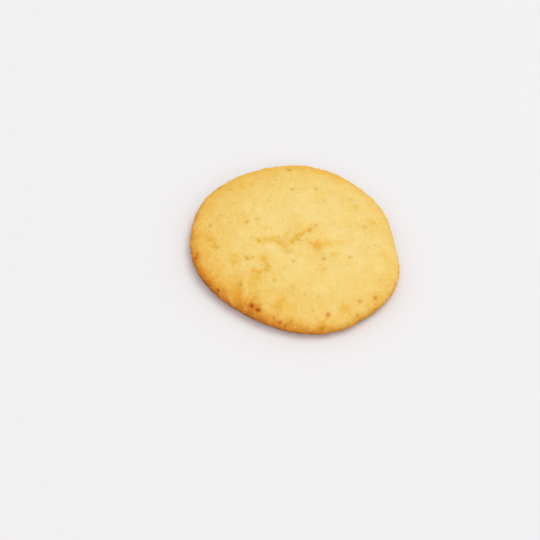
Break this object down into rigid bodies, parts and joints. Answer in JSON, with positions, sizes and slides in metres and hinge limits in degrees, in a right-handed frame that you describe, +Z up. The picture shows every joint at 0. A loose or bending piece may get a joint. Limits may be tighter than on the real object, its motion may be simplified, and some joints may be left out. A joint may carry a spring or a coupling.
{
  "type": "lemon cookie",
  "caption": "Soft round lemon cookie with an uneven outline, a low creased top and a flat baked underside it rests on.",
  "frame": {"origin": "on the flat underside, under the middle of the cookie's box", "axes": "+Z up through the cookie's thickness, -Y towards the side that faces the camera in the picture, +X to the camera's right"},
  "size_m": [0.072, 0.0754, 0.0099],
  "materials": {
    "baked_dough": null
  },
  "bodies": {
    "root": {"cookie": "baked_dough"}
  },
  "joints": []
}
